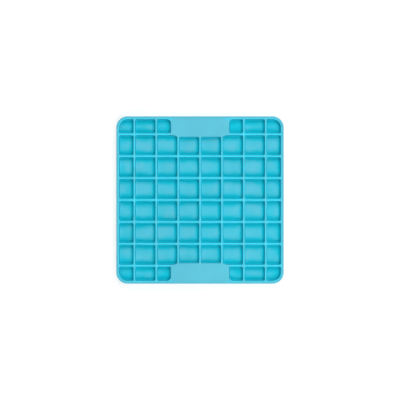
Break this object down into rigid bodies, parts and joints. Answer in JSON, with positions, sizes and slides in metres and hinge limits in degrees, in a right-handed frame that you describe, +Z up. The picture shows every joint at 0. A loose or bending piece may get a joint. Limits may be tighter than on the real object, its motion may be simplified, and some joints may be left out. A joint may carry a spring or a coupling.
{
  "type": "lick mat",
  "caption": "Square pet lick mat: a soft pad of open cells with two plain panels, in a rigid tray on rubber feet.",
  "frame": {"origin": "middle of the mat, on the plane that its feet stand on", "axes": "+Z up out of the cells, +Y towards the panel at the top of the picture, +X to the right"},
  "size_m": [0.2, 0.2, 0.0108],
  "materials": {
    "tray_plastic": "moulded polypropylene, satin, turquoise",
    "pad_rubber": "moulded thermoplastic rubber, smooth satin, turquoise",
    "foot_rubber": "moulded rubber, matt, darker turquoise"
  },
  "bodies": {
    "root": {"base_tray": "tray_plastic", "lick_pad": "pad_rubber", "foot_front_left": "foot_rubber", "foot_front_right": "foot_rubber", "foot_rear_left": "foot_rubber", "foot_rear_right": "foot_rubber"}
  },
  "joints": []
}
